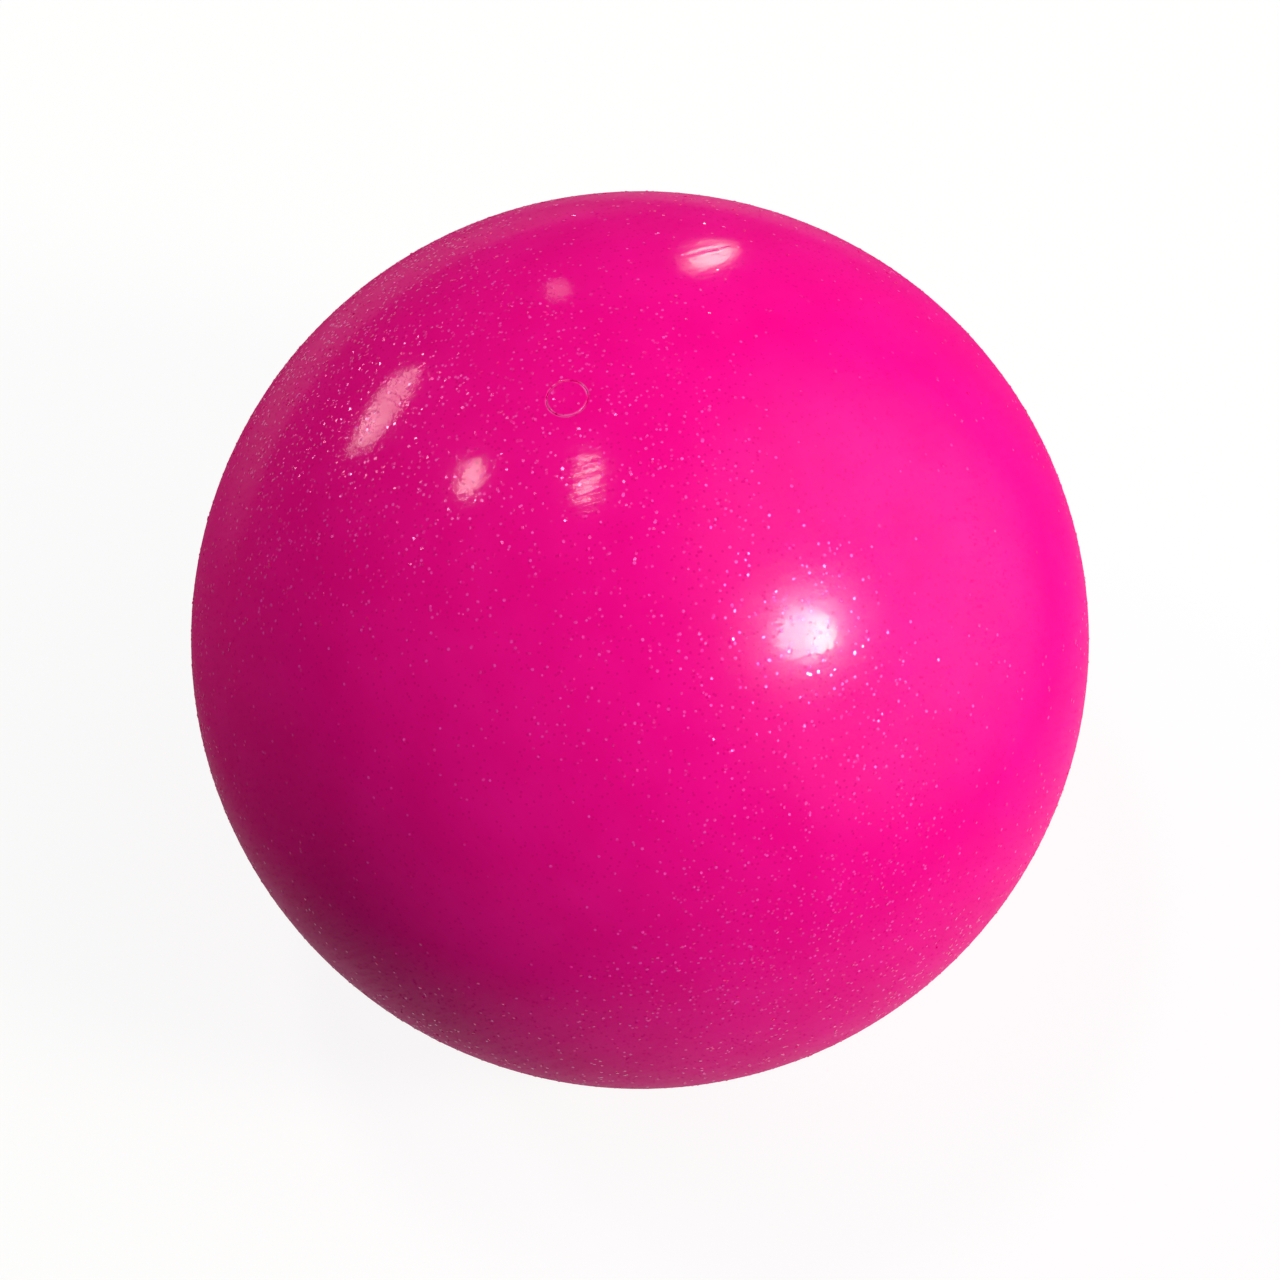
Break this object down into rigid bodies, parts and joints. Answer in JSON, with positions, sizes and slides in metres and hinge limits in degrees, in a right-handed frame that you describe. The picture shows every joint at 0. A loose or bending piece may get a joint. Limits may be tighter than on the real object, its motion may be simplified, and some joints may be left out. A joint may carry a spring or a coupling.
{
  "type": "rhythmic gymnastics ball",
  "caption": "Hollow moulded hand ball with a glossy glitter coat and a needle valve closed by a flush pull-out plug, for rhythmic gymnastics.",
  "frame": {"origin": "centre of the ball", "axes": "+Z along the valve axis, out of the ball; X and Y are arbitrary, because the ball is round about Z"},
  "size_m": [0.185, 0.185, 0.185],
  "materials": {
    "coat": "gloss",
    "glitter": "polished",
    "body": "satin",
    "patch": "matte",
    "stem": "satin",
    "core": "matte",
    "plug": "gloss"
  },
  "bodies": {
    "ball": {"glitter_coat": "coat", "ball_body": "body", "valve_patch": "patch", "valve_stem": "stem", "valve_core": "core"},
    "plug": {"valve_plug": "plug"}
  },
  "joints": [
    {"name": "plug_pull", "type": "slide", "parent": "ball", "child": "plug", "axis": [0, 0, 1], "range_m": [0, 0.045]}
  ]
}
